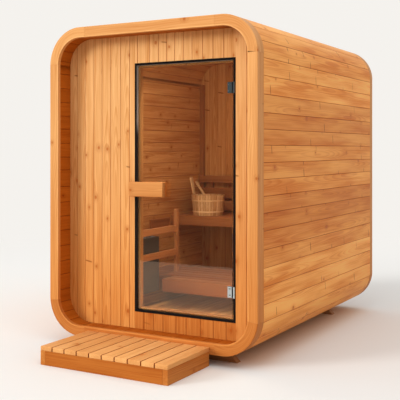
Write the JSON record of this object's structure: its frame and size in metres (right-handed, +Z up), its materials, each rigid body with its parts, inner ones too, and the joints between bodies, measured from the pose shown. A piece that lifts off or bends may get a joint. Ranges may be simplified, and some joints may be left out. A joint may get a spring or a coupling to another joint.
{
  "type": "indoor sauna cabin",
  "caption": "Free-standing wooden sauna cabin with a rounded board shell, recessed front, hinged glass door, tiered benches, guarded heater, bucket with ladle and a slatted step.",
  "frame": {"origin": "on the ground, at the middle of the box round the cabin and its step", "axes": "+Z up; -Y towards the front, where the step and the glass door are; +X to the right seen from the front"},
  "size_m": [1.595, 2.727, 2.17],
  "materials": {
    "shell_wood": "oiled boards",
    "hoop_wood": "oiled laminations",
    "dark_wood": "dry boards",
    "bench_wood": "sanded boards",
    "pale_wood": "sanded",
    "step_wood": "sanded boards",
    "black_metal": "satin black",
    "steel": "brushed",
    "door_glass": "clear, lightly toned",
    "heater_casing": "satin",
    "stones": "rough stone"
  },
  "bodies": {
    "cabin": {"cradles": "dark_wood", "floor_boards": "shell_wood", "roof_boards": "shell_wood", "left_wall": "shell_wood", "right_wall": "shell_wood", "shell_corners": "shell_wood", "front_hoop_stiles": "hoop_wood", "front_hoop_rails": "hoop_wood", "front_hoop_corners": "hoop_wood", "rear_hoop_stiles": "hoop_wood", "rear_hoop_rails": "hoop_wood", "rear_hoop_corners": "hoop_wood", "front_wall_left": "shell_wood", "front_wall_right": "shell_wood", "front_wall_over": "shell_wood", "front_wall_under": "shell_wood", "back_wall": "shell_wood", "metal_frame_sides": "black_metal", "metal_frame_ends": "black_metal", "door_jambs": "shell_wood", "door_head_and_sill": "shell_wood", "hinge_leaves": "steel", "corner_battens": "bench_wood", "upper_bench_slats": "bench_wood", "upper_bench_bearers": "dark_wood", "upper_bench_fascia": "bench_wood", "backrest_slats": "bench_wood", "backrest_battens": "dark_wood", "lower_bench_slats": "bench_wood", "lower_bench_bearers": "dark_wood", "lower_bench_fascia": "bench_wood", "heater_body": "heater_casing", "heater_stones": "stones", "guard_post": "bench_wood", "guard_rails": "bench_wood", "wall_vent": "dark_wood", "bucket_staves": "pale_wood", "bucket_hoops": "pale_wood", "ladle": "pale_wood", "step_deck": "step_wood", "step_sides": "step_wood", "step_crossboards": "step_wood"},
    "door": {"door_glass": "door_glass", "hinge_clamps": "steel", "outer_handle": "pale_wood", "inner_handle": "pale_wood", "handle_standoffs": "steel"}
  },
  "joints": [
    {"name": "door_hinge", "type": "hinge", "parent": "cabin", "child": "door", "pos_m": [0.554, -0.7325, 1.0835], "axis": [0, 0, 1], "range_deg": [0, 105]}
  ]
}
